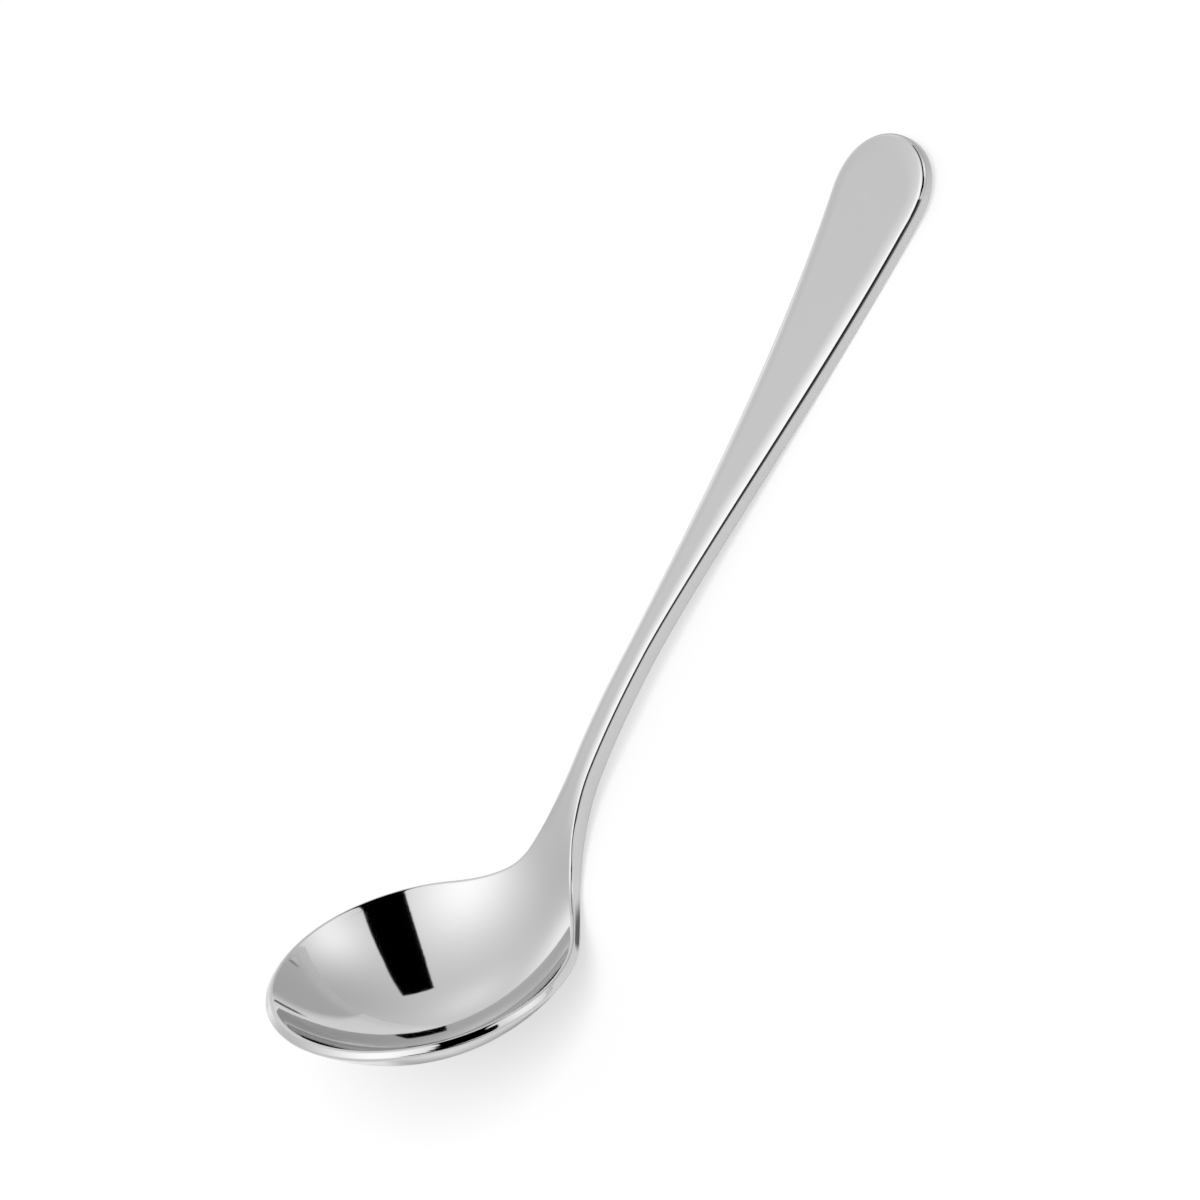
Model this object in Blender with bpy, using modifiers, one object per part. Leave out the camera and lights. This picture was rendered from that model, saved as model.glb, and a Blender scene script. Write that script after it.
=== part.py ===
"""Cupping spoon: a deep round bowl and a flat handle that rises from its back wall.

Metres, +Z up. The spoon is shaped with its rim level, then laid down as it rests on a table:
on the heel of the bowl and on the underside of the handle near the tip.
"""
import math

import bmesh
import bpy
import numpy as np

MM = 0.001

# Bowl: a round dish with an arc for its profile, measured at the inner edge of its rim
BOWL_RADIUS = 21.0 * MM
BOWL_DEPTH = 8.9 * MM
BOWL_WALL = 1.5 * MM

# Centre line of the handle. The dish's arc runs on up the neck until it is this steep to the rim's
# plane. From there the handle eases to its middle slope, and steepens again towards its tip.
NECK_SLOPE = math.radians(56.6)
HANDLE_SLOPE = math.radians(36.4)
TIP_SLOPE = math.radians(47.3)
HANDLE_LENGTH = 110.2 * MM
NECK_EASE = 43.0 * MM
TIP_EASE = 62.0 * MM

# Outline from the rim to the tip: straight shoulders leave the rim at this angle to the long axis, and
# fillets lead from them into the neck
SHOULDER_ANGLE = math.radians(50.0)
NECK_FILLET = 14.5 * MM
NECK_WIDTH = 4.0 * MM
NECK_LENGTH = 30.0 * MM
TIP_WIDTH = 17.5 * MM
TIP_ROUND = 10.1 * MM
WIDENING = 1.42

# Section of the handle. Its underside is hollowed a little, so that it rests on its two edges.
NECK_THICKNESS = 2.8 * MM
TIP_THICKNESS = 2.0 * MM
UNDER_HOLLOW = 0.05 * MM

# Where the handle meets the root of the neck, measured along the handle
JOINT_PLACE = 8.0 * MM
JOINT_GAP = 0.3 * MM

EDGE_ROUND = 0.4 * MM

# Facets
BOWL_STEPS_ALONG = 40
BOWL_STEPS_ACROSS = 22
HANDLE_STEPS_ALONG = 48
HANDLE_STEPS_ACROSS = 8
EDGE_SEGMENTS = 2
LINE_STEP = 0.1 * MM
TIP_SAMPLES = 200

# The sheet's corners sit on the round ends, this far from the long axis
CORNER = math.radians(45.0)
# Share of the bowl's steps that run along its rim; the rest run up the neck
RIM_SHARE = 0.7

# The tilt at which the spoon rests is under this, and is found by halving the range this many times
STEEPEST_REST = math.radians(80.0)
HALVINGS = 60

STEEL_COLOUR = (0.62, 0.62, 0.63, 1.0)
STEEL_ROUGHNESS = 0.08


def clear_scene():
    for item in list(bpy.data.objects):
        bpy.data.objects.remove(item, do_unlink=True)


DISH_RADIUS = 0.5 * (BOWL_RADIUS ** 2 + BOWL_DEPTH ** 2) / BOWL_DEPTH
NECK_START = DISH_RADIUS * math.sin(NECK_SLOPE)


def dish_height(radius):
    """Height of the dish's arc over the rim's plane."""
    return DISH_RADIUS - BOWL_DEPTH - math.sqrt(DISH_RADIUS ** 2 - radius ** 2)


def handle_slope(s):
    """Slope of the handle at a distance s from the dish's arc: steep at the neck, and at the tip."""
    neck = np.clip(1.0 - s / NECK_EASE, 0.0, None) ** 2
    tip = np.clip((s - HANDLE_LENGTH + TIP_EASE) / TIP_EASE, 0.0, None) ** 2
    return HANDLE_SLOPE + (NECK_SLOPE - HANDLE_SLOPE) * neck + (TIP_SLOPE - HANDLE_SLOPE) * tip


def handle_line():
    """Distance, x and z of points along the middle of the handle's face, from the dish's arc to the tip."""
    s = np.linspace(0.0, HANDLE_LENGTH, round(HANDLE_LENGTH / LINE_STEP) + 1)
    slope = handle_slope(0.5 * (s[1:] + s[:-1]))
    x = np.concatenate([[0.0], np.cumsum(np.diff(s) * np.cos(slope))])
    z = np.concatenate([[0.0], np.cumsum(np.diff(s) * np.sin(slope))])
    return s, NECK_START + x, dish_height(NECK_START) + z


LINE_S, LINE_X, LINE_Z = handle_line()


def along_handle(x):
    """Distance along the handle, for a place x in the rim's plane."""
    return np.interp(x, LINE_X, LINE_S)


def profile_height(q):
    """Height over the rim's plane at a distance q from the bowl's middle: the dish, then the handle."""
    if q < NECK_START:
        return dish_height(q)
    return float(np.interp(q, LINE_X, LINE_Z))


# Where a shoulder leaves the rim, the middle of the fillet, and where the fillet starts
RIM_END = BOWL_RADIUS * math.sin(SHOULDER_ANGLE)
FILLET_Y = 0.5 * NECK_WIDTH + NECK_FILLET
FILLET_X = (BOWL_RADIUS + NECK_FILLET - FILLET_Y * math.cos(SHOULDER_ANGLE)) / math.sin(SHOULDER_ANGLE)
FILLET_START = FILLET_X - NECK_FILLET * math.sin(SHOULDER_ANGLE)


def neck_share(x):
    """Runs from 0 where the shoulders leave the rim to 1 at the neck, with no kink at either end."""
    share = min(max((x - RIM_END) / (FILLET_X - RIM_END), 0.0), 1.0)
    return share ** 3 * (share * (6.0 * share - 15.0) + 10.0)


def handle_half_width(s):
    """Half the width of the handle past the fillet, with its rounded end."""
    start = HANDLE_LENGTH - TIP_ROUND
    growth = np.clip((s - NECK_LENGTH) / (start - NECK_LENGTH), 0.0, None) ** WIDENING
    width = NECK_WIDTH + (TIP_WIDTH - NECK_WIDTH) * growth
    end = np.clip((s - start) / TIP_ROUND, 0.0, 1.0)
    return 0.5 * width * np.sqrt(1.0 - end ** 2)


def half_width(x):
    """Half the width of the whole spoon at x, seen from above the rim's plane."""
    if x < RIM_END:
        return math.sqrt(BOWL_RADIUS ** 2 - x ** 2)
    if x < FILLET_START:
        return (BOWL_RADIUS - x * math.sin(SHOULDER_ANGLE)) / math.cos(SHOULDER_ANGLE)
    if x < FILLET_X:
        return FILLET_Y - math.sqrt(NECK_FILLET ** 2 - (FILLET_X - x) ** 2)
    return float(handle_half_width(along_handle(x)))


def sheet_point(x, y):
    """A point on the upper face. The dish is round, and its wall runs on into the neck as a trough."""
    radius = math.hypot(x, y)
    return x, y, profile_height(radius + (x - radius) * neck_share(x))


def bowl_point(t, v):
    """The bowl's sheet: t from the front rim to the joint, v across it from -1 to 1."""
    tangent = math.acos(-RIM_END / BOWL_RADIUS)
    joint = float(np.interp(JOINT_PLACE - 0.5 * JOINT_GAP, LINE_S, LINE_X))
    if t < RIM_SHARE:
        edge_x = -BOWL_RADIUS * math.cos(CORNER + (tangent - CORNER) * t / RIM_SHARE)
        bulge = (1.0 - t / RIM_SHARE) ** 2
    else:
        edge_x = RIM_END + (joint - RIM_END) * (t - RIM_SHARE) / (1.0 - RIM_SHARE)
        bulge = 0.0
    width = half_width(edge_x)
    arc = math.sqrt(1.0 - (v * math.sin(CORNER)) ** 2) - math.cos(CORNER)
    return sheet_point(edge_x - BOWL_RADIUS * arc * bulge, v * width)


def tip_outline():
    """Half widths and distances along the rounded end, from its corner to its very tip."""
    corner = HANDLE_LENGTH - TIP_ROUND * (1.0 - math.cos(CORNER))
    s = np.linspace(HANDLE_LENGTH, corner, TIP_SAMPLES)
    return handle_half_width(s), s


TIP_HALF_WIDTHS, TIP_DISTANCES = tip_outline()


def handle_point(t, v):
    """The handle's sheet: t from the joint to the rounded tip, v across it from -1 to 1."""
    corner = TIP_DISTANCES[-1]
    start = JOINT_PLACE + 0.5 * JOINT_GAP
    edge_s = start + (corner - start) * t
    width = half_width(float(np.interp(edge_s, LINE_S, LINE_X)))
    reach = np.interp(abs(v) * TIP_HALF_WIDTHS[-1], TIP_HALF_WIDTHS, TIP_DISTANCES) - corner
    s = edge_s + reach * t ** 4
    return sheet_point(float(np.interp(s, LINE_S, LINE_X)), v * width)


def thickness(x, v):
    """Thickness of the steel: even in the bowl, growing into the neck and thinning towards the tip.

    v runs across the sheet from -1 to 1. The handle's underside is hollowed between its edges.
    """
    thinned = along_handle(x) / HANDLE_LENGTH
    hollow = UNDER_HOLLOW * (1.0 - v ** 2)
    grown = (NECK_THICKNESS - BOWL_WALL - hollow) * neck_share(x)
    return BOWL_WALL + grown - (NECK_THICKNESS - TIP_THICKNESS) * thinned


def steel(name):
    material = bpy.data.materials.new(name)
    material.use_nodes = True
    shader = material.node_tree.nodes["Principled BSDF"]
    shader.inputs["Base Color"].default_value = STEEL_COLOUR
    shader.inputs["Metallic"].default_value = 1.0
    shader.inputs["Roughness"].default_value = STEEL_ROUGHNESS
    return material


def sheet_object(name, point, joint_t, along, across, collection):
    """A grid laid over the upper face by point(t, v), thickened downwards.

    Its free edges are rounded, and those at joint_t, where bowl and handle meet, stay square.
    """
    mesh = bpy.data.meshes.new(name)
    grid = bmesh.new()
    bmesh.ops.create_grid(grid, x_segments=along, y_segments=across, size=1.0)
    weights = []
    free_edges = grid.edges.layers.float.new("bevel_weight_edge")
    for edge in grid.edges:
        at_joint = all(abs(0.5 * (v.co.x + 1.0) - joint_t) < 1e-6 for v in edge.verts)
        edge[free_edges] = 1.0 if edge.is_boundary and not at_joint else 0.0
    for vertex in grid.verts:
        t = min(max(0.5 * (vertex.co.x + 1.0), 0.0), 1.0)
        v = min(max(vertex.co.y, -1.0), 1.0)
        vertex.co = point(t, v)
        weights.append(thickness(vertex.co.x, v) / NECK_THICKNESS)
    grid.to_mesh(mesh)
    grid.free()

    item = bpy.data.objects.new(name, mesh)
    collection.objects.link(item)
    mesh.materials.append(steel("polished_steel_" + name))
    group = item.vertex_groups.new(name="thickness")
    for index, weight in enumerate(weights):
        group.add([index], weight, "REPLACE")

    solid = item.modifiers.new("Thickness", "SOLIDIFY")
    solid.thickness = NECK_THICKNESS
    solid.offset = -1.0
    solid.vertex_group = group.name
    solid.use_even_offset = True
    solid.use_quality_normals = True

    rounding = item.modifiers.new("Edges", "BEVEL")
    rounding.width = EDGE_ROUND
    rounding.segments = EDGE_SEGMENTS
    rounding.limit_method = "WEIGHT"
    mesh.shade_smooth()
    return item


def evaluated_points(item):
    """The finished corners of an object, as an array in the frame of the level rim."""
    bpy.context.view_layer.update()
    shown = item.evaluated_get(bpy.context.evaluated_depsgraph_get())
    return np.array([corner.co[:] for corner in shown.data.vertices])


def lay_down(bowl, handle, rest):
    """Turns the spoon back until its heel and its handle touch the table, and centres it there."""
    dish = evaluated_points(bowl)
    bar = evaluated_points(handle)
    low, high = 0.0, STEEPEST_REST
    for _ in range(HALVINGS):
        tilt = 0.5 * (low + high)
        heel = (dish[:, 2] * math.cos(tilt) - dish[:, 0] * math.sin(tilt)).min()
        end = (bar[:, 2] * math.cos(tilt) - bar[:, 0] * math.sin(tilt)).min()
        if end > heel:
            low = tilt
        else:
            high = tilt
    both = np.concatenate([dish, bar])
    lengths = both[:, 0] * math.cos(tilt) + both[:, 2] * math.sin(tilt)
    rest.rotation_euler = (0.0, tilt, 0.0)
    rest.location = (-0.5 * (lengths.min() + lengths.max()), 0.0, -min(heel, end))


def main():
    clear_scene()
    collection = bpy.data.collections.new("cupping_spoon")
    bpy.context.scene.collection.children.link(collection)
    bowl = sheet_object("bowl", bowl_point, 1.0, BOWL_STEPS_ALONG, BOWL_STEPS_ACROSS, collection)
    handle = sheet_object("handle", handle_point, 0.0, HANDLE_STEPS_ALONG, HANDLE_STEPS_ACROSS, collection)

    rest = bpy.data.objects.new("table_rest", None)
    collection.objects.link(rest)
    lay_down(bowl, handle, rest)
    bowl.parent = rest
    handle.parent = rest


main()
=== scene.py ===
"""Cupping spoon with its finish: one mirror-polished skin from the rim of the bowl to the tip of the handle.

The skin follows the solids' own sizes. It is shaped in millimetres with the rim level, as rings that run
round the whole outline, and is then laid on the table as the solids are.
"""
import math

import bmesh
import bpy
import numpy as np
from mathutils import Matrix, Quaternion, Vector


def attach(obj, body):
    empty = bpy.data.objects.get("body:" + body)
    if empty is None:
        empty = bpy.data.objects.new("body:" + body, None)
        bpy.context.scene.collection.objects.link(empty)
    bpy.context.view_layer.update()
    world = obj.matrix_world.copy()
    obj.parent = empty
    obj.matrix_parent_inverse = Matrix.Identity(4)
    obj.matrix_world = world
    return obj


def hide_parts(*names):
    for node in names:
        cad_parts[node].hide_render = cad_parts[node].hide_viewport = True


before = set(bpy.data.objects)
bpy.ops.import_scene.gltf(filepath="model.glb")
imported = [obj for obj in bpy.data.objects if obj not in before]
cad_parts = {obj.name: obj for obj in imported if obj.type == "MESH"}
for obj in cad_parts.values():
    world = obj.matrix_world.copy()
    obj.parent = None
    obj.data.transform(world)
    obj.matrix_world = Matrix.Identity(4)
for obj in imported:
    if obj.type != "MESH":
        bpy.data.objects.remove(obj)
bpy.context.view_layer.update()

MM = 0.001

# Bowl, at the inner edge of its rim, in millimetres
BOWL_RADIUS = 21.0
BOWL_DEPTH = 8.9
BOWL_WALL = 1.5

# Centre line of the handle: slopes to the rim's plane, and lengths along the line
NECK_SLOPE = math.radians(56.6)
HANDLE_SLOPE = math.radians(36.4)
TIP_SLOPE = math.radians(47.3)
HANDLE_LENGTH = 110.2
NECK_EASE = 43.0
TIP_EASE = 62.0
LINE_STEP = 0.02
LINE_PAST_TIP = 2.0

# Outline of the handle, with the straight shoulders that leave the rim and the fillets that end at the neck
SHOULDER_ANGLE = math.radians(50.0)
NECK_WIDTH = 4.0
NECK_LENGTH = 30.0
NECK_FILLET = 14.5
TIP_WIDTH = 17.5
TIP_ROUND = 10.1
WIDENING = 1.42

# Section of the handle
NECK_THICKNESS = 2.8
TIP_THICKNESS = 2.0
UNDER_HOLLOW = 0.05

# Rounded edges: radii on the rim and on the handle, and how far along the handle the larger one is reached
RIM_ROUND = 0.45
HANDLE_ROUND = 0.85
UNDER_ROUND = 0.4
ROUND_FULL = 105.0

# Crown along the edges of the handle's face: its width, at most a share of half the handle's width, and the
# angle at which it meets the edge. It grows along the neck and eases off towards the tip.
CROWN_WIDTH = 1.9
CROWN_SHARE = 0.55
CROWN_ANGLE = math.radians(19.0)
CROWN_START = -2.0
CROWN_FULL = 16.0
CROWN_EASE = 70.0
CROWN_AT_TIP = 0.45

# Rings and the points round them. The rings of the upper face crowd towards the edge, and the last ring of
# each face lies some radii of its rounded edge inside the outline.
RIM_POINTS = 130
SHOULDER_POINTS = 24
FILLET_POINTS = 28
HANDLE_POINTS = 130
TIP_POINTS = 44
TOP_RINGS = 30
TOP_CROWDING = 1.25
TOP_LAST = 1.15
ARC_RINGS = 7
SIDE_RINGS = 3
UNDER_RINGS = 18
UNDER_LAST = 1.25

# A small step for slopes, a small share for the way out at the edge, and lengths that count as none
SLOPE_STEP = 0.02
EDGE_STEP = 0.001
LEAST_REACH = 1e-6
SAME_PLACE = 1e-9

# Search for the tilt at rest
STEEPEST_TILT = math.radians(80.0)
TILT_HALVINGS = 60

DISH_RADIUS = 0.5 * (BOWL_RADIUS ** 2 + BOWL_DEPTH ** 2) / BOWL_DEPTH
NECK_START = DISH_RADIUS * math.sin(NECK_SLOPE)


def smooth(a):
    """Eases from 0 to 1 with no kink at either end."""
    a = np.clip(a, 0.0, 1.0)
    return a ** 3 * (a * (6.0 * a - 15.0) + 10.0)


def dish_height(radius):
    """Height of the dish over the rim's plane, which is below zero inside the rim."""
    return DISH_RADIUS - BOWL_DEPTH - np.sqrt(DISH_RADIUS ** 2 - radius ** 2)


def handle_line():
    """Distance, x and z along the middle of the handle's face, from the dish's arc to past the tip."""
    s = np.arange(0.0, HANDLE_LENGTH + LINE_PAST_TIP, LINE_STEP)
    neck = np.clip(1.0 - s / NECK_EASE, 0.0, None) ** 2
    tip = np.clip((s - HANDLE_LENGTH + TIP_EASE) / TIP_EASE, 0.0, None) ** 2
    slope = HANDLE_SLOPE + (NECK_SLOPE - HANDLE_SLOPE) * neck + (TIP_SLOPE - HANDLE_SLOPE) * tip
    middle = 0.5 * (slope[1:] + slope[:-1])
    x = NECK_START + np.concatenate([[0.0], np.cumsum(LINE_STEP * np.cos(middle))])
    z = dish_height(NECK_START) + np.concatenate([[0.0], np.cumsum(LINE_STEP * np.sin(middle))])
    return s, x, z


LINE_S, LINE_X, LINE_Z = handle_line()

# Where a shoulder leaves the rim, and the middle of the fillet between the shoulder and the neck
RIM_END = BOWL_RADIUS * math.sin(SHOULDER_ANGLE)
FILLET_Y = 0.5 * NECK_WIDTH + NECK_FILLET
FILLET_X = (BOWL_RADIUS + NECK_FILLET - FILLET_Y * math.cos(SHOULDER_ANGLE)) / math.sin(SHOULDER_ANGLE)


def along_handle(x):
    """Distance along the handle's line at x."""
    return np.interp(x, LINE_X, LINE_S)


def neck_share(x):
    """Runs from 0 where the shoulders leave the rim to 1 at the neck."""
    return smooth((x - RIM_END) / (FILLET_X - RIM_END))


def sheet_height(x, y):
    """Height of the upper face over the rim's plane: a round dish that runs on into the neck as a trough."""
    radius = np.hypot(x, y)
    q = radius + (x - radius) * neck_share(x)
    return np.where(q < NECK_START, dish_height(np.minimum(q, NECK_START)), np.interp(q, LINE_X, LINE_Z))


def sheet_normal(x, y):
    """Upward normal of the upper face."""
    across = (sheet_height(x, y + SLOPE_STEP) - sheet_height(x, y - SLOPE_STEP)) / (2.0 * SLOPE_STEP)
    along = (sheet_height(x + SLOPE_STEP, y) - sheet_height(x - SLOPE_STEP, y)) / (2.0 * SLOPE_STEP)
    return unit(np.stack([-along, -across, np.ones_like(along)], 1))


def unit(vectors):
    """Each row at a length of 1."""
    return vectors / np.linalg.norm(vectors, axis=1, keepdims=True)


def half_width(s):
    """Half the width of the handle before its rounded end."""
    growth = np.clip((s - NECK_LENGTH) / (HANDLE_LENGTH - TIP_ROUND - NECK_LENGTH), 0.0, None) ** WIDENING
    return 0.5 * (NECK_WIDTH + (TIP_WIDTH - NECK_WIDTH) * growth)


def thickness(x, share):
    """Thickness of the steel: even in the bowl, growing into the neck and thinning towards the tip.

    The share runs from the long axis to the edge. The handle's underside is hollowed between its edges.
    """
    hollow = UNDER_HOLLOW * (1.0 - share ** 2)
    grown = (NECK_THICKNESS - BOWL_WALL - hollow) * neck_share(x)
    thinned = along_handle(x) / HANDLE_LENGTH
    return BOWL_WALL + grown - (NECK_THICKNESS - TIP_THICKNESS) * thinned


def half_outline():
    """Plan of one side, from the rim's front to the tip: x, y, and the x of its place on the long axis."""
    leave = 0.5 * math.pi - SHOULDER_ANGLE
    turn = np.linspace(math.pi, leave, RIM_POINTS)
    rim = BOWL_RADIUS * np.stack([np.cos(turn), np.sin(turn)], 1)

    turn = np.linspace(leave + math.pi, 1.5 * math.pi, FILLET_POINTS)
    fillet = np.array([FILLET_X, FILLET_Y]) + NECK_FILLET * np.stack([np.cos(turn), np.sin(turn)], 1)
    shoulder = rim[-1] + (fillet[0] - rim[-1]) * np.linspace(0.0, 1.0, SHOULDER_POINTS + 2)[1:-1, None]

    tip_start = HANDLE_LENGTH - TIP_ROUND
    bar_s = np.linspace(along_handle(FILLET_X), tip_start, HANDLE_POINTS + 1)[1:]
    bar = np.stack([np.interp(bar_s, LINE_S, LINE_X), half_width(bar_s)], 1)

    turn = np.linspace(0.0, 0.5 * math.pi, TIP_POINTS + 1)[1:]
    tip_s = tip_start + TIP_ROUND * np.sin(turn)
    tip = np.stack([np.interp(tip_s, LINE_S, LINE_X), half_width(tip_s) * np.cos(turn)], 1)

    plan = np.concatenate([rim, shoulder, fillet, bar, tip])
    spine = np.clip(plan[:, 0], 0.0, np.interp(tip_start, LINE_S, LINE_X))
    return plan[:, 0], plan[:, 1], spine


def ring_layout():
    """The whole outline as one closed ring, with each point's place on the long axis."""
    x, y, spine = half_outline()
    y[0] = y[-1] = 0.0
    back = slice(-2, 0, -1)
    return np.concatenate([x, x[back]]), np.concatenate([y, -y[back]]), np.concatenate([spine, spine[back]])


RING_X, RING_Y, RING_SPINE = ring_layout()


def crown_share(x):
    """How far the crown has grown at x: none in the bowl, full along the handle, and less at the tip."""
    past = np.where(x < NECK_START, x - NECK_START, along_handle(x))
    eased = smooth((past - CROWN_EASE) / (HANDLE_LENGTH - CROWN_EASE))
    return smooth((past - CROWN_START) / (CROWN_FULL - CROWN_START)) * (1.0 - (1.0 - CROWN_AT_TIP) * eased)


# Distance from the long axis, slope of the crown and radius of the upper edge at each point of a ring
RING_REACH = np.maximum(np.hypot(RING_X - RING_SPINE, RING_Y), LEAST_REACH)
RING_CROWN = CROWN_ANGLE * crown_share(RING_X)
RING_ROUND = RIM_ROUND + (HANDLE_ROUND - RIM_ROUND) * smooth(along_handle(RING_X) / ROUND_FULL)


def crown_rise(share):
    """Height of the crowned face over the plain sheet, from the rounded edge inwards."""
    width = np.minimum(CROWN_SHARE * RING_REACH, CROWN_WIDTH)
    inset = RING_REACH * (1.0 - share) - RING_ROUND * (1.0 - np.sin(RING_CROWN))
    climb = 1.0 - np.clip(1.0 - inset / width, 0.0, 1.0) ** 2
    return 0.5 * width * np.tan(RING_CROWN) * climb - RING_ROUND * (1.0 - np.cos(RING_CROWN))


def sheet_ring(share):
    """A ring of the plain sheet, a share of the way from the long axis to the outline, and its normals."""
    x = RING_SPINE + (RING_X - RING_SPINE) * share
    y = RING_Y * share
    return np.stack([x, y, sheet_height(x, y)], 1), sheet_normal(x, y)


def top_ring(share):
    """A ring of the upper face, with its crown."""
    ring, normal = sheet_ring(share)
    return ring + crown_rise(share)[:, None] * normal


def under_ring(share):
    """A ring of the underside, the sheet's thickness under the upper face."""
    ring, normal = sheet_ring(share)
    return ring - thickness(ring[:, 0], share)[:, None] * normal


def edge_rings():
    """Rings round the edge of the sheet: rounded above, square to the sheet, and rounded below."""
    edge, _ = sheet_ring(1.0)
    inner, _ = sheet_ring(1.0 - EDGE_STEP)
    along = unit(np.roll(edge, -1, 0) - np.roll(edge, 1, 0))
    out = unit(edge - inner)
    up = unit(np.cross(along, out))
    up *= np.sign(up[:, 2:])
    out = unit(out - along * (out * along).sum(1, keepdims=True))
    deep = thickness(RING_X, 1.0)
    rings = []
    for share in np.linspace(0.0, 1.0, ARC_RINGS):
        angle = RING_CROWN + (0.5 * math.pi - RING_CROWN) * share
        inset = RING_ROUND * (1.0 - np.sin(angle))
        drop = RING_ROUND * (1.0 - np.cos(angle))
        rings.append(edge - out * inset[:, None] - up * drop[:, None])
    for share in np.linspace(0.0, 1.0, SIDE_RINGS + 2)[1:-1]:
        drop = RING_ROUND + (deep - UNDER_ROUND - RING_ROUND) * share
        rings.append(edge - up * drop[:, None])
    for angle in np.linspace(0.0, 0.5 * math.pi, ARC_RINGS):
        inset = UNDER_ROUND * (1.0 - math.cos(angle))
        drop = deep - UNDER_ROUND * (1.0 - math.sin(angle))
        rings.append(edge - out * inset - up * drop[:, None])
    return rings


def skin_rings():
    """All rings from the middle of the upper face, round the edge, to the middle of the underside."""
    top_end = 1.0 - TOP_LAST * RING_ROUND / RING_REACH
    under_end = 1.0 - UNDER_LAST * UNDER_ROUND / RING_REACH
    top_shares = 1.0 - (1.0 - np.arange(1, TOP_RINGS) / TOP_RINGS) ** TOP_CROWDING
    under_shares = np.arange(UNDER_RINGS - 1, 0, -1) / UNDER_RINGS
    top = [top_ring(share * top_end) for share in top_shares]
    under = [under_ring(share * under_end) for share in under_shares]
    return top + edge_rings() + under


def spine_points(ring):
    """A ring's points on the long axis, one for each place, and the one that each ring point closes to."""
    half = len(RING_X) // 2 + 1
    order = np.concatenate([[0], np.cumsum(np.abs(np.diff(RING_SPINE[:half])) > SAME_PLACE)])
    first = np.unique(order, return_index=True)[1]
    return ring[first], np.concatenate([order, order[-2:0:-1]])


def lay_down(points):
    """Turns the spoon back until heel and handle touch the table, and centres it there, in metres."""
    heel_side = points[:, 0] < NECK_START
    low, high = 0.0, STEEPEST_TILT
    for _ in range(TILT_HALVINGS):
        tilt = 0.5 * (low + high)
        height = points[:, 2] * math.cos(tilt) - points[:, 0] * math.sin(tilt)
        if height[~heel_side].min() > height[heel_side].min():
            low = tilt
        else:
            high = tilt
    length = points[:, 0] * math.cos(tilt) + points[:, 2] * math.sin(tilt)
    laid = np.stack([length - 0.5 * (length.min() + length.max()), points[:, 1], height - height.min()], 1)
    return laid * MM


def skin_mesh():
    """The closed skin: quads between neighbouring rings, and the two faces closed along the long axis."""
    rings = skin_rings()
    count = len(RING_X)
    top_spine, order = spine_points(top_ring(0.0))
    under_spine, _ = spine_points(under_ring(0.0))
    points = lay_down(np.concatenate(rings + [top_spine, under_spine]))
    last = (len(rings) - 1) * count
    top_first = len(rings) * count
    under_first = top_first + len(top_spine)
    faces = []
    for k in range(count):
        after = (k + 1) % count
        for here in range(0, last, count):
            there = here + count
            faces.append([here + k, there + k, there + after, here + after])
        faces.append([top_first + order[k], k, after, top_first + order[after]])
        faces.append([last + k, under_first + order[k], under_first + order[after], last + after])
    # Where two corners fall on one point of the long axis, the quad becomes a triangle
    faces = [list(dict.fromkeys(int(i) for i in face)) for face in faces]
    mesh = bpy.data.meshes.new("spoon_skin")
    mesh.from_pydata([tuple(p) for p in points], [], faces)
    shape = bmesh.new()
    shape.from_mesh(mesh)
    bmesh.ops.recalc_face_normals(shape, faces=shape.faces)
    shape.to_mesh(mesh)
    shape.free()
    mesh.shade_smooth()
    return mesh


def add_node(tree, kind, **values):
    """A new node with its settings."""
    node = tree.nodes.new(kind)
    for name, value in values.items():
        setattr(node, name, value)
    return node


def math_node(tree, operation, *values):
    """A calculation on numbers and other nodes' values."""
    node = add_node(tree, "ShaderNodeMath", operation=operation)
    for socket, value in zip(node.inputs, values):
        if isinstance(value, float):
            socket.default_value = value
        else:
            tree.links.new(value, socket)
    return node.outputs["Value"]


def left_over(tree, share):
    """What a share leaves of the whole."""
    return math_node(tree, "SUBTRACT", 1.0, share)


def eased_step(tree, value, ends):
    """Eases from 0 to 1 as a value runs between two ends."""
    node = add_node(tree, "ShaderNodeMapRange", interpolation_type="SMOOTHSTEP")
    node.inputs["From Min"].default_value = ends[0]
    node.inputs["From Max"].default_value = ends[1]
    tree.links.new(value, node.inputs["Value"])
    return node.outputs["Result"]


def vector_node(tree, operation, first, second):
    """The dot product or the distance of another node's vector and a given one."""
    node = add_node(tree, "ShaderNodeVectorMath", operation=operation)
    tree.links.new(first, node.inputs[0])
    node.inputs[1].default_value = second
    return node.outputs["Value"]


def noise(tree, place, scale, detail):
    """Cloudy noise between 0 and 1."""
    node = add_node(tree, "ShaderNodeTexNoise")
    node.inputs["Scale"].default_value = scale
    node.inputs["Detail"].default_value = detail
    tree.links.new(place, node.inputs["Vector"])
    return node.outputs["Fac"]


def mix_colours(tree, share, first, second):
    """Runs from the first colour to the second as the share grows."""
    node = add_node(tree, "ShaderNodeMix", data_type="RGBA")
    node.inputs["A"].default_value = first
    node.inputs["B"].default_value = second
    tree.links.new(share, node.inputs["Factor"])
    return node.outputs["Result"]


# Polished steel: two close tones and a faint haze, with fine polishing lines along the spoon. The depth of
# the lines is in metres.
STEEL_COLOURS = ((0.57, 0.57, 0.575, 1.0), (0.59, 0.59, 0.595, 1.0))
STEEL_ROUGHNESS = (0.035, 0.06)
HAZE_SCALE = 90.0
HAZE_DETAIL = 4.0
LINE_SCALE = 120.0
LINE_STRETCH = (1.0, 15.0, 15.0)
LINE_DETAIL = 3.0
LINE_DEPTH = 1.2e-6


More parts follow.
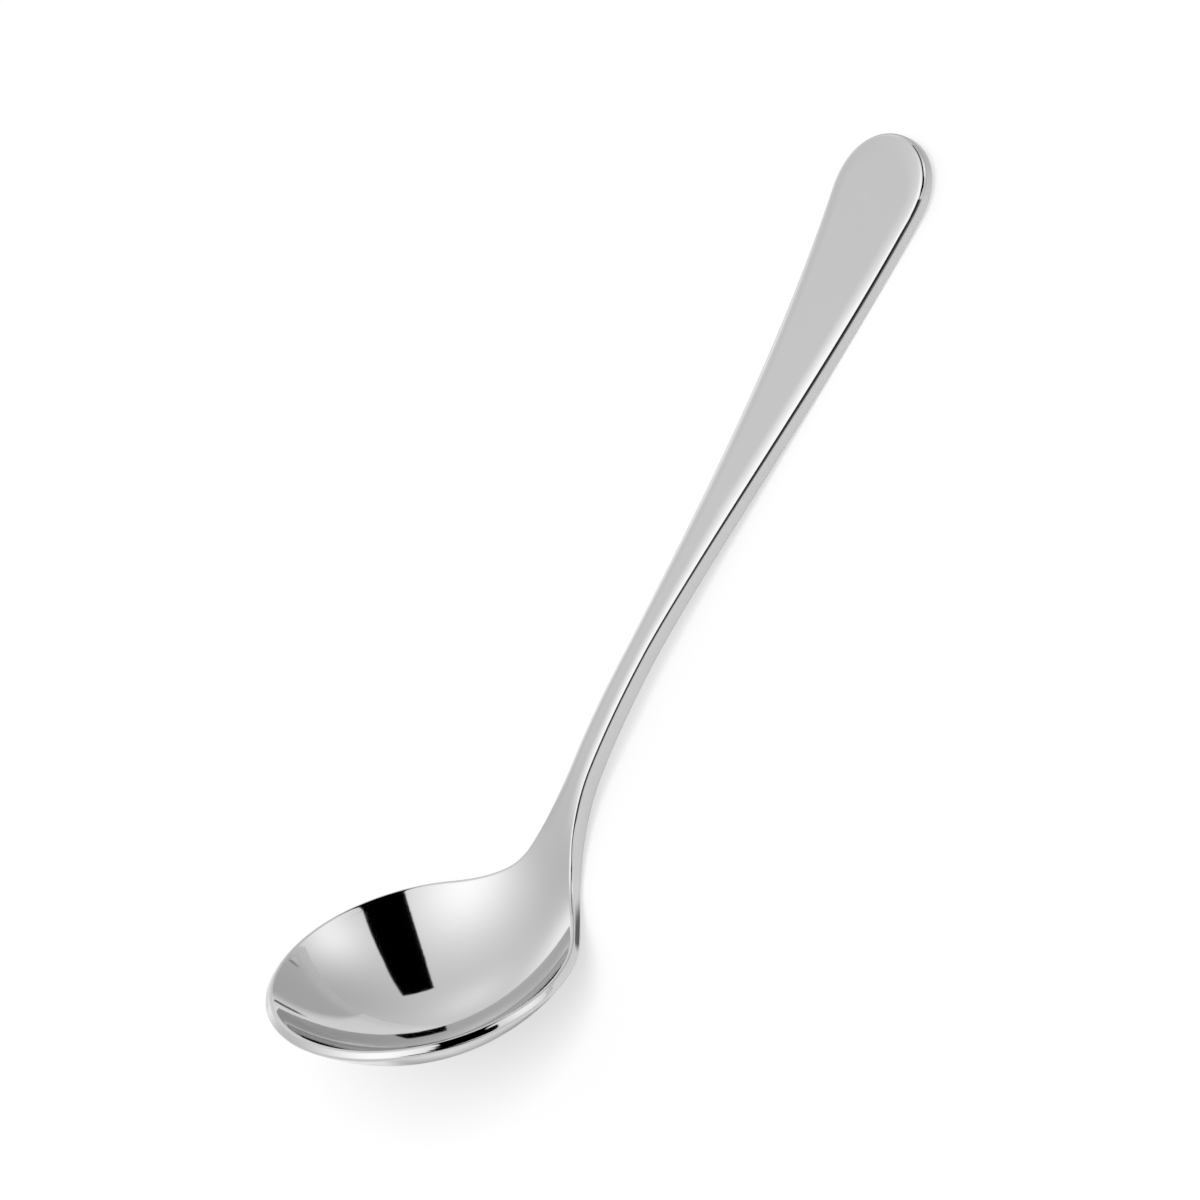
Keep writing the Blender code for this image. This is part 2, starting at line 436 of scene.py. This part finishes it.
def polished_steel():
    material = bpy.data.materials.new("polished_steel")
    material.use_nodes = True
    tree = material.node_tree
    shader = tree.nodes["Principled BSDF"]
    shader.inputs["Metallic"].default_value = 1.0
    place = add_node(tree, "ShaderNodeTexCoord").outputs["Object"]

    haze = noise(tree, place, HAZE_SCALE, HAZE_DETAIL)
    tree.links.new(mix_colours(tree, haze, *STEEL_COLOURS), shader.inputs["Base Color"])
    roughness = add_node(tree, "ShaderNodeMapRange")
    roughness.inputs["To Min"].default_value = STEEL_ROUGHNESS[0]
    roughness.inputs["To Max"].default_value = STEEL_ROUGHNESS[1]
    tree.links.new(haze, roughness.inputs["Value"])
    tree.links.new(roughness.outputs["Result"], shader.inputs["Roughness"])

    stretch = add_node(tree, "ShaderNodeMapping")
    stretch.inputs["Scale"].default_value = LINE_STRETCH
    tree.links.new(place, stretch.inputs["Vector"])
    lines = noise(tree, stretch.outputs["Vector"], LINE_SCALE, LINE_DETAIL)
    bump = add_node(tree, "ShaderNodeBump")
    bump.inputs["Distance"].default_value = LINE_DEPTH
    tree.links.new(lines, bump.inputs["Height"])
    tree.links.new(bump.outputs["Normal"], shader.inputs["Normal"])
    return material


WHITE = (1.0, 1.0, 1.0, 1.0)
BLACK = (0.0, 0.0, 0.0, 1.0)
WHITE_STRENGTH = 1.0

# Studio: brightness of the surroundings, and round glows as azimuth, elevation, gain and tightness. The
# angles are in degrees, seen from the spoon, with the azimuth counted from the side of its tip.
SURROUND = 0.90
GLOWS = (
    (0.0, 87.1, 0.78, 7.0),
    (-24.0, 14.2, 0.55, 22.0),
    (12.9, 0.0, -0.20, 12.0),
    (87.1, 2.9, 0.42, 40.0),
    (107.0, 31.2, -0.12, 22.0),
    (55.6, 16.9, 0.22, 45.0),
    (-90.0, 1.1, 0.80, 40.0),
)
# Share of that brightness that lights the floor, beside the softbox
AMBIENT = 0.45
# Dark flags, as the share of light that they stop and the azimuth and elevation of their corners: a strip
# overhead in two lengths, a bar across its near end, and the upper and lower part of the camera's side
FLAGS = (
    (1.00, ((-78.1, 48.8), (17.4, 43.2), (-0.6, 31.6), (-58.8, 30.4))),
    (1.00, ((8.3, 48.3), (34.2, 28.4), (25.5, 19.9), (-9.6, 33.7))),
    (1.00, ((-52.4, 63.8), (-35.8, 27.4), (-55.3, 24.2), (-81.4, 48.0))),
    (0.97, ((-110.6, 70.0), (-74.7, 70.0), (-77.4, 29.4), (-106.8, 29.5))),
    (0.75, ((-106.8, 29.5), (-77.4, 29.4), (-74.9, 3.5), (-111.2, 3.4))),
)
FLAG_SOFTNESS = 0.006


def direction(azimuth, elevation):
    """A direction from the spoon, by angles in degrees."""
    azimuth, elevation = math.radians(azimuth), math.radians(elevation)
    level = math.cos(elevation)
    return Vector((math.cos(azimuth) * level, math.sin(azimuth) * level, math.sin(elevation)))


def flag_planes(places):
    """The planes through the spoon and each side of a flag, pointing inwards."""
    corners = [direction(*place) for place in places]
    middle = sum(corners, Vector())
    planes = []
    for first, second in zip(corners, corners[1:] + corners[:1]):
        normal = first.cross(second).normalized()
        planes.append(normal if normal.dot(middle) > 0.0 else -normal)
    return planes


def studio_light(tree):
    """Brightness of the studio in each direction: its surroundings and glows, less what the flags stop."""
    toward = add_node(tree, "ShaderNodeTexCoord").outputs["Generated"]
    light = SURROUND
    for azimuth, elevation, gain, tightness in GLOWS:
        nearness = vector_node(tree, "DOT_PRODUCT", toward, direction(azimuth, elevation))
        fall = math_node(tree, "MULTIPLY", math_node(tree, "SUBTRACT", nearness, 1.0), tightness)
        glow = math_node(tree, "MULTIPLY", math_node(tree, "EXPONENT", fall), gain)
        light = math_node(tree, "ADD", glow, light)
    for stopped, places in FLAGS:
        for plane in flag_planes(places):
            inwards = vector_node(tree, "DOT_PRODUCT", toward, plane)
            inside = eased_step(tree, inwards, (-FLAG_SOFTNESS, FLAG_SOFTNESS))
            stopped = math_node(tree, "MULTIPLY", inside, stopped)
        light = math_node(tree, "MULTIPLY", light, left_over(tree, stopped))
    return light


def studio_world():
    """The studio as mirrors see it, dimmer where it lights the floor, and white for the camera."""
    world = bpy.data.worlds.new("studio")
    bpy.context.scene.world = world
    world.use_nodes = True
    tree = world.node_tree
    path = add_node(tree, "ShaderNodeLightPath")
    mirrored = math_node(tree, "MULTIPLY", path.outputs["Is Glossy Ray"], 1.0 - AMBIENT)
    light = math_node(tree, "MULTIPLY", studio_light(tree), math_node(tree, "ADD", mirrored, AMBIENT))
    strength = add_node(tree, "ShaderNodeMix", data_type="FLOAT")
    tree.links.new(path.outputs["Is Camera Ray"], strength.inputs["Factor"])
    tree.links.new(light, strength.inputs["A"])
    strength.inputs["B"].default_value = WHITE_STRENGTH
    background = tree.nodes["Background"]
    background.inputs["Color"].default_value = WHITE
    tree.links.new(strength.outputs["Result"], background.inputs["Strength"])


# Softbox, far off over the near side. Mirrors don't show it.
SOFTBOX_ELEVATION = math.radians(64.0)
SOFTBOX_SPREAD = math.radians(38.0)
SOFTBOX_STRENGTH = 3.1


def softbox():
    lamp = bpy.data.lights.new("softbox", "SUN")
    lamp.angle = SOFTBOX_SPREAD
    lamp.energy = SOFTBOX_STRENGTH
    light = bpy.data.objects.new("softbox", lamp)
    bpy.context.scene.collection.objects.link(light)
    light.rotation_euler = (0.5 * math.pi - SOFTBOX_ELEVATION, 0.0, 0.0)
    light.visible_glossy = False


# Floor, in metres, just under the spoon. The camera sees it mixed with white by the share that glows.
FLOOR_SIZE = 12.0
FLOOR_DROP = 0.0001
FLOOR_COLOUR = (0.8, 0.8, 0.8, 1.0)
FLOOR_ROUGHNESS = 0.4
FLOOR_GLOW = 0.65
# Painted shade on the floor, seen only in mirrors: it darkens behind the spoon and past its tip, between
# these places, and less so far along
FLOOR_BEHIND = (-0.008, 0.006)
FLOOR_BEYOND = (0.066, 0.082)
FLOOR_FAR = (0.03, 0.20)
FLOOR_PAINTED_SHADE = 0.31
FLOOR_NEAR_PAINTED_SHADE = 0.11
# Past a slanted line behind the bowl the painted shade clears again, with a thin painted dark edge at the
# near end of that line
CLEAR_SLANT = 0.5
CLEAR_FROM = (0.042, 0.050)
CLEAR_LOST_FAR = 0.35
EDGE_FROM = (0.0480, 0.0488)
EDGE_TO = (0.0497, 0.0505)
EDGE_START = (-0.048, -0.044)
EDGE_END = (-0.0292, -0.0276)
EDGE_PAINTED_SHADE = 0.95
# And a painted contact shadow, seen only in mirrors, darkens the floor round the heel, between these
# distances
HEEL_PLACE = (-0.0385, -0.011, 0.0)
HEEL_PAINTED_SHADOW_REACH = (0.0042, 0.0014)
HEEL_PAINTED_SHADOW = 0.85


def painted_zone_shade(tree, x, y, past_slant):
    """Painted shade on the floor behind the spoon and past its tip, less in the zone that is clear again."""
    far = eased_step(tree, x, FLOOR_FAR)
    zone = math_node(tree, "MAXIMUM", eased_step(tree, y, FLOOR_BEHIND), eased_step(tree, x, FLOOR_BEYOND))
    near_painted_shade = math_node(tree, "MULTIPLY", left_over(tree, far), FLOOR_NEAR_PAINTED_SHADE)
    painted_shade = math_node(tree, "MULTIPLY", zone, math_node(tree, "ADD", near_painted_shade, FLOOR_PAINTED_SHADE))
    kept = left_over(tree, math_node(tree, "MULTIPLY", far, CLEAR_LOST_FAR))
    clear = math_node(tree, "MULTIPLY", eased_step(tree, past_slant, CLEAR_FROM), kept)
    return math_node(tree, "MULTIPLY", painted_shade, left_over(tree, clear))


def painted_edge_shade(tree, x, past_slant):
    """Painted shade of the thin dark edge along the slanted line."""
    across = math_node(
        tree, "SUBTRACT", eased_step(tree, past_slant, EDGE_FROM), eased_step(tree, past_slant, EDGE_TO)
    )
    along = math_node(tree, "SUBTRACT", eased_step(tree, x, EDGE_START), eased_step(tree, x, EDGE_END))
    return math_node(tree, "MULTIPLY", math_node(tree, "MULTIPLY", across, along), EDGE_PAINTED_SHADE)


def painted_heel_shadow(tree, position):
    """Painted contact shadow round the heel."""
    distance = vector_node(tree, "DISTANCE", position, HEEL_PLACE)
    return math_node(tree, "MULTIPLY", eased_step(tree, distance, HEEL_PAINTED_SHADOW_REACH), HEEL_PAINTED_SHADOW)


def painted_mirror_shade(tree):
    """Painted shade of the floor at each place where a mirror shows it: behind the spoon, past its tip,
    along the thin edge and round the heel.
    """
    position = add_node(tree, "ShaderNodeNewGeometry").outputs["Position"]
    place = add_node(tree, "ShaderNodeSeparateXYZ")
    tree.links.new(position, place.inputs["Vector"])
    x, y = place.outputs["X"], place.outputs["Y"]
    past_slant = math_node(tree, "SUBTRACT", y, math_node(tree, "MULTIPLY", x, CLEAR_SLANT))
    painted_shade = math_node(tree, "MAXIMUM", painted_zone_shade(tree, x, y, past_slant), painted_edge_shade(tree, x, past_slant))
    return math_node(tree, "MAXIMUM", painted_shade, painted_heel_shadow(tree, position))


def floor_white_painted_shade():
    material = bpy.data.materials.new("floor_white_painted_shade")
    material.use_nodes = True
    tree = material.node_tree
    path = add_node(tree, "ShaderNodeLightPath")
    shader = tree.nodes["Principled BSDF"]
    shader.inputs["Roughness"].default_value = FLOOR_ROUGHNESS
    # Painted shade: for glossy rays only, the floor's colour is darkened towards black, so the steel mirrors
    # a shaded floor there
    painted_shade = math_node(tree, "MULTIPLY", painted_mirror_shade(tree), path.outputs["Is Glossy Ray"])
    tree.links.new(mix_colours(tree, painted_shade, FLOOR_COLOUR, BLACK), shader.inputs["Base Color"])
    glow = add_node(tree, "ShaderNodeEmission")
    glow.inputs["Color"].default_value = WHITE
    glow.inputs["Strength"].default_value = WHITE_STRENGTH
    mix = add_node(tree, "ShaderNodeMixShader")
    tree.links.new(math_node(tree, "MULTIPLY", path.outputs["Is Camera Ray"], FLOOR_GLOW), mix.inputs["Fac"])
    tree.links.new(shader.outputs["BSDF"], mix.inputs[1])
    tree.links.new(glow.outputs["Emission"], mix.inputs[2])
    tree.links.new(mix.outputs["Shader"], tree.nodes["Material Output"].inputs["Surface"])
    return material


def floor():
    bpy.ops.mesh.primitive_plane_add(size=FLOOR_SIZE, location=(0.0, 0.0, -FLOOR_DROP))
    plane = bpy.context.object
    plane.name = "floor"
    plane.data.materials.append(floor_white_painted_shade())


# Camera: a long lens, turned on its side so that the spoon stands in the frame. Its angles are in degrees,
# its lens and sensor in millimetres, and the rest in metres.
CAMERA_AZIMUTH = -93.405
CAMERA_ELEVATION = 41.812
CAMERA_ROLL = -61.711
CAMERA_TARGET = (-0.001464, 0.005755, 0.010)
CAMERA_DISTANCE = 1.25
CAMERA_LENS = 273.85
CAMERA_SENSOR = 36.0
CAMERA_REACH = 50.0


def camera():
    lens = bpy.data.cameras.new("camera")
    lens.lens = CAMERA_LENS
    lens.sensor_width = CAMERA_SENSOR
    lens.clip_end = CAMERA_REACH
    eye = bpy.data.objects.new("camera", lens)
    bpy.context.scene.collection.objects.link(eye)
    back = direction(CAMERA_AZIMUTH, CAMERA_ELEVATION)
    eye.location = Vector(CAMERA_TARGET) + back * CAMERA_DISTANCE
    eye.rotation_mode = "QUATERNION"
    roll = Quaternion((0.0, 0.0, 1.0), math.radians(CAMERA_ROLL))
    eye.rotation_quaternion = back.to_track_quat("Z", "Y") @ roll
    bpy.context.scene.camera = eye


def spoon():
    piece = bpy.data.objects.new("spoon_skin", skin_mesh())
    bpy.context.scene.collection.objects.link(piece)
    piece.data.materials.append(polished_steel())
    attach(piece, "root")
    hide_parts("bowl", "handle")


bpy.context.scene.view_settings.view_transform = "Standard"
spoon()
floor()
softbox()
studio_world()
camera()
